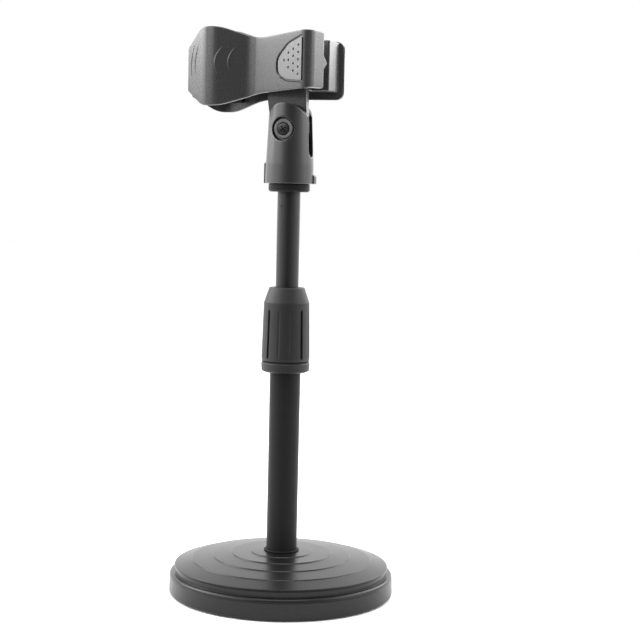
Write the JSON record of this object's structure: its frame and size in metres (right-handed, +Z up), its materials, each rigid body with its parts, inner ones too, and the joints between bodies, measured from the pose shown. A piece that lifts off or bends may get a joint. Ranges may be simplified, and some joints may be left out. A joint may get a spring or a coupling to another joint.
{
  "type": "desktop microphone stand",
  "caption": "Desktop microphone stand: weighted round base with stepped rings, two-stage pole with twist clutch, and a sprung clip that tilts in a fork.",
  "frame": {"origin": "on the ground under the pole's axis, at the centre of the foot ring's underside", "axes": "+Z up along the pole; the clip lies along X with its jaws at -X and its handles at +X; its tilt screw lies along Y"},
  "size_m": [0.14, 0.14, 0.3517],
  "materials": {
    "base_paint": "satin",
    "iron": "rough",
    "steel_plate": "satin",
    "pole_paint": "satin",
    "upper_paint": "semi-gloss",
    "black_steel": "black oxide",
    "fork_plastic": "fine satin texture",
    "pad_plastic": "soft satin",
    "zinc_steel": "satin",
    "grip_plastic": "matte",
    "clip_plastic": "fine satin texture",
    "nylon": "matte",
    "brass": "satin",
    "rubber": "matte",
    "spring_steel": "bright"
  },
  "bodies": {
    "base": {"base_cover": "base_paint", "base_weight": "iron", "base_plate": "steel_plate", "foot_ring": "rubber", "base_screws": "zinc_steel", "base_washer": "zinc_steel", "base_bolt": "zinc_steel", "pole_collar": "rubber", "lower_tube": "pole_paint", "foot_plug": "zinc_steel", "clutch_body": "grip_plastic", "clutch_washer": "rubber", "clutch_collet": "nylon"},
    "grip": {"clutch_nut": "grip_plastic"},
    "slider": {"guide_bush": "nylon"},
    "pole": {"upper_tube": "upper_paint", "tube_cap": "nylon", "bush_ring": "zinc_steel", "stud_adapter": "pole_paint", "set_screw": "black_steel", "fork": "fork_plastic", "thread_insert": "brass", "tilt_screw": "black_steel", "screw_washer": "pad_plastic", "tilt_nut": "zinc_steel", "friction_discs": "nylon"},
    "clip": {"fixed_arm": "clip_plastic", "finger_pad": "pad_plastic", "hinge_pin": "black_steel", "pin_clip": "spring_steel", "torsion_spring": "spring_steel", "fixed_jaw_pad": "rubber"},
    "jaw": {"moving_arm": "clip_plastic", "thumb_pad": "pad_plastic", "spring_arm": "spring_steel", "moving_jaw_pad": "rubber"}
  },
  "joints": [
    {"name": "clutch_twist", "type": "hinge", "parent": "base", "child": "grip", "pos_m": [0, 0, 0.165], "axis": [0, 0, 1], "range_deg": [0, 270]},
    {"name": "pole_slide", "type": "slide", "parent": "base", "child": "slider", "axis": [0, 0, 1], "range_m": [-0.058, 0.03]},
    {"name": "pole_turn", "type": "hinge", "parent": "slider", "child": "pole", "pos_m": [0, 0, 0.11], "axis": [0, 0, 1], "continuous": true},
    {"name": "clip_tilt", "type": "hinge", "parent": "pole", "child": "clip", "pos_m": [0, 0, 0.2894], "axis": [0, 1, 0], "range_deg": [-75, 90]},
    {"name": "jaw_open", "type": "hinge", "parent": "clip", "child": "jaw", "pos_m": [-0.019, 0, 0.328], "axis": [0, 0, 1], "range_deg": [0, 24], "stiffness_Nm_per_rad": 0.3, "springref_deg": -20.05}
  ]
}
